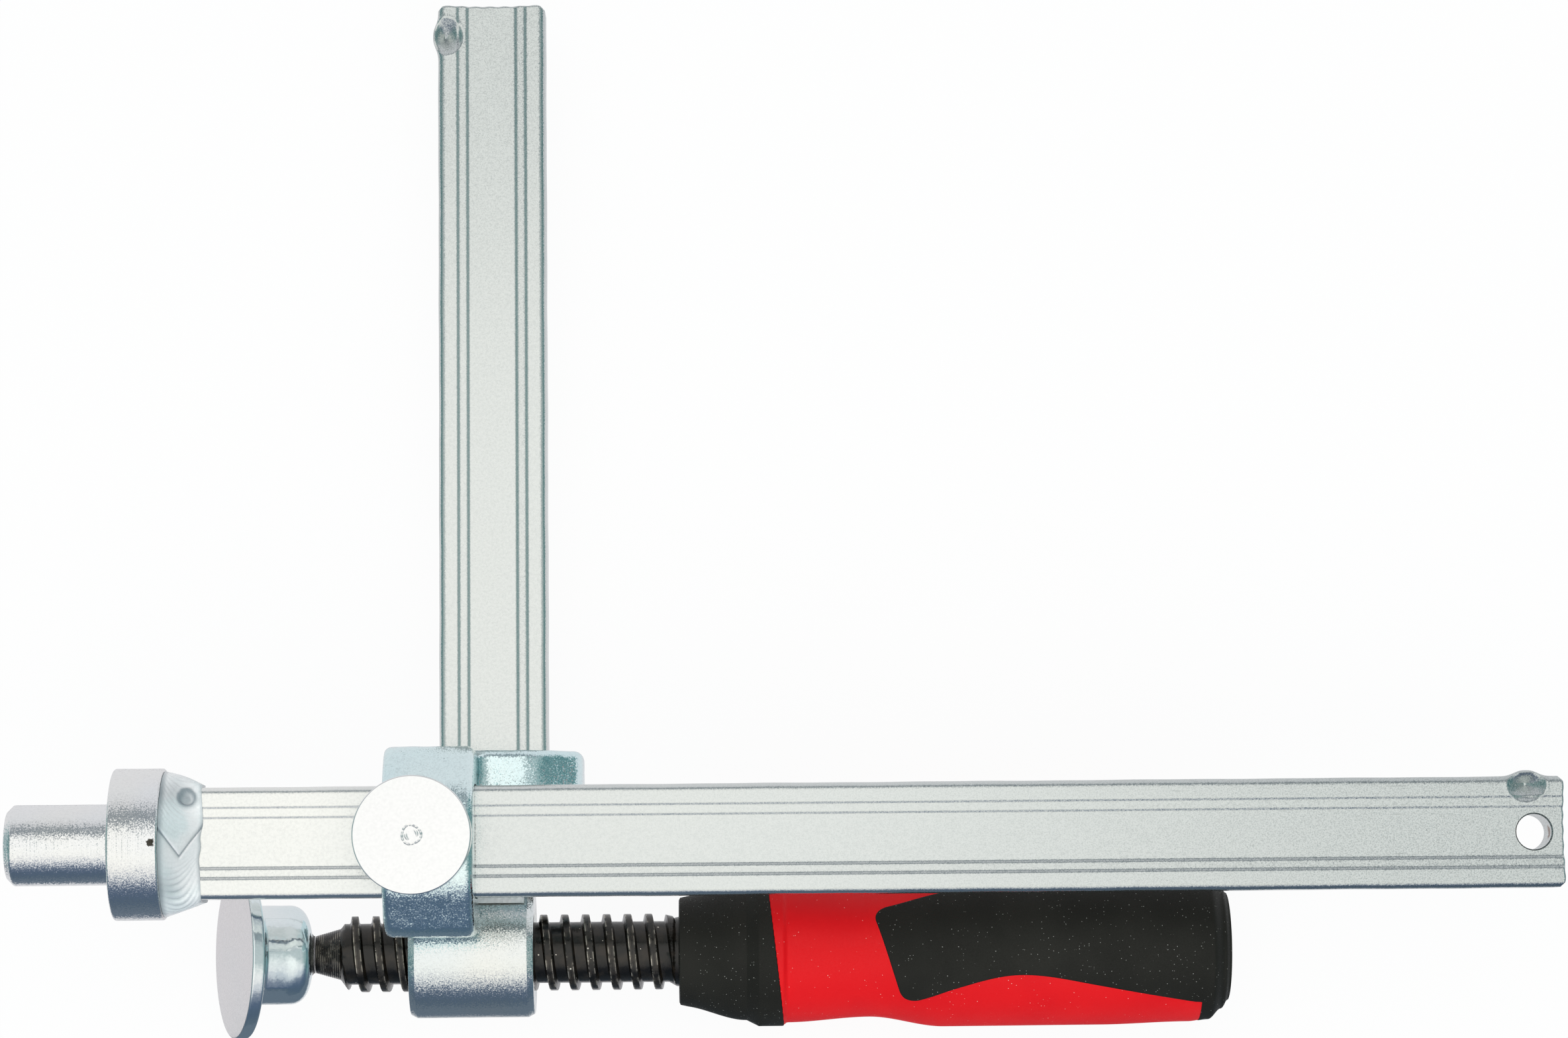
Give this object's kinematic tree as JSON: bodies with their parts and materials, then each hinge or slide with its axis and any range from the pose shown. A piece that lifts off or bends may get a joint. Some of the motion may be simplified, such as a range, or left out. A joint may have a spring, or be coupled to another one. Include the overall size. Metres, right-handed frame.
{
  "type": "variable throat clamp",
  "caption": "Table clamp with a pin, two crossing fluted rails, a forged cross slider, a screw with swivel pad and a two-component handle.",
  "frame": {"origin": "centre of the table pin's end face", "axes": "+X along the main rail away from the pin, +Y along the throat rail away from the screw, +Z out of the rails' faces towards the stud disc"},
  "size_m": [0.3081, 0.2113, 0.0585],
  "materials": {
    "rail_zinc": "zinc-plated rolled steel, satin",
    "turned_zinc": "zinc-plated turned steel, satin",
    "weld_zinc": "zinc-plated weld bead",
    "forged_zinc": "zinc-plated forged and blasted steel",
    "ground_disc": "ground flat, bright zinc",
    "screw_black": "black oxide, oiled",
    "pad_zinc": "zinc-plated pressed steel",
    "handle_red": "moulded red plastic, fine texture",
    "soft_black": "matt black soft plastic"
  },
  "bodies": {
    "fixed_rail": {"main_rail": "rail_zinc", "table_pin": "turned_zinc", "pin_weld": "weld_zinc"},
    "slider": {"cross_slider": "forged_zinc", "stud_disc": "ground_disc"},
    "throat": {"throat_rail": "rail_zinc", "spindle_nut": "turned_zinc", "nut_weld_front": "weld_zinc", "nut_weld_rear": "weld_zinc"},
    "screw_end": {"ball_end": "screw_black"},
    "screw": {"spindle": "screw_black", "handle_core": "handle_red", "handle_collar": "soft_black", "handle_grip": "soft_black"},
    "pad": {"pressure_pad": "pad_zinc"}
  },
  "joints": [
    {"name": "slider_slide", "type": "slide", "parent": "fixed_rail", "child": "slider", "axis": [1, 0, 0], "range_m": [-0.0045, 0.2045]},
    {"name": "throat_slide", "type": "slide", "parent": "slider", "child": "throat", "axis": [0, 1, 0], "range_m": [-0.1432, 0.002]},
    {"name": "spindle_travel", "type": "slide", "parent": "throat", "child": "screw_end", "axis": [1, 0, 0], "range_m": [-0.0043, 0.0171]},
    {"name": "spindle_turn", "type": "hinge", "parent": "screw_end", "child": "screw", "pos_m": [0.05315, -0.02199, -0.024], "axis": [1, 0, 0], "range_deg": [-360, 1440]},
    {"name": "pad_tilt", "type": "hinge", "parent": "screw_end", "child": "pad", "pos_m": [0.05315, -0.02199, -0.024], "axis": [0, 1, 0], "range_deg": [-41, 4]}
  ],
  "couplings": [
    {"joint": "spindle_travel", "follows": "spindle_turn", "m_per_rad": 0.00067641}
  ]
}
